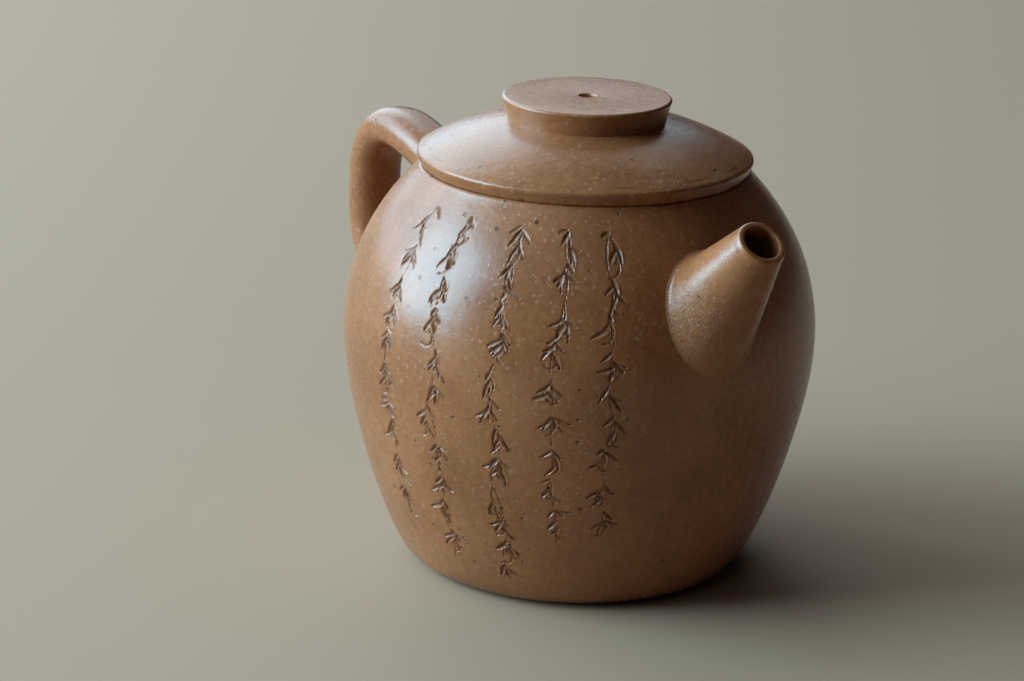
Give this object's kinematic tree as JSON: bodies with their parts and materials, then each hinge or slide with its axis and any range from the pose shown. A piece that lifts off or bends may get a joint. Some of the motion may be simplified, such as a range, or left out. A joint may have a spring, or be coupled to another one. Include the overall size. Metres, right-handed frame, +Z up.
{
  "type": "yixing clay teapot",
  "caption": "Unglazed barrel-shaped clay teapot with a straight conical spout, an ear handle opposite it, and a press-over lid with a flat disc knob.",
  "frame": {"origin": "middle of the flat foot, on the surface the pot stands on", "axes": "+Z up along the pot's axis, +X towards the spout, -X towards the handle"},
  "size_m": [0.1234, 0.08, 0.0802],
  "materials": {
    "burnished_clay": "unglazed stoneware, burnished to a satin sheen, with fine sandy grain",
    "plain_clay": "unglazed stoneware, left matt"
  },
  "bodies": {
    "pot": {"pot_wall": "burnished_clay", "base_disc": "plain_clay", "mouth_ring": "burnished_clay", "spout": "burnished_clay", "spout_strainer": "plain_clay", "handle": "burnished_clay"},
    "lid": {"lid_disc": "burnished_clay", "lid_flange": "plain_clay", "lid_knob": "burnished_clay"}
  },
  "joints": [
    {"name": "lid_lift", "type": "slide", "parent": "pot", "child": "lid", "axis": [0, 0, 1], "range_m": [0, 0.03]}
  ]
}
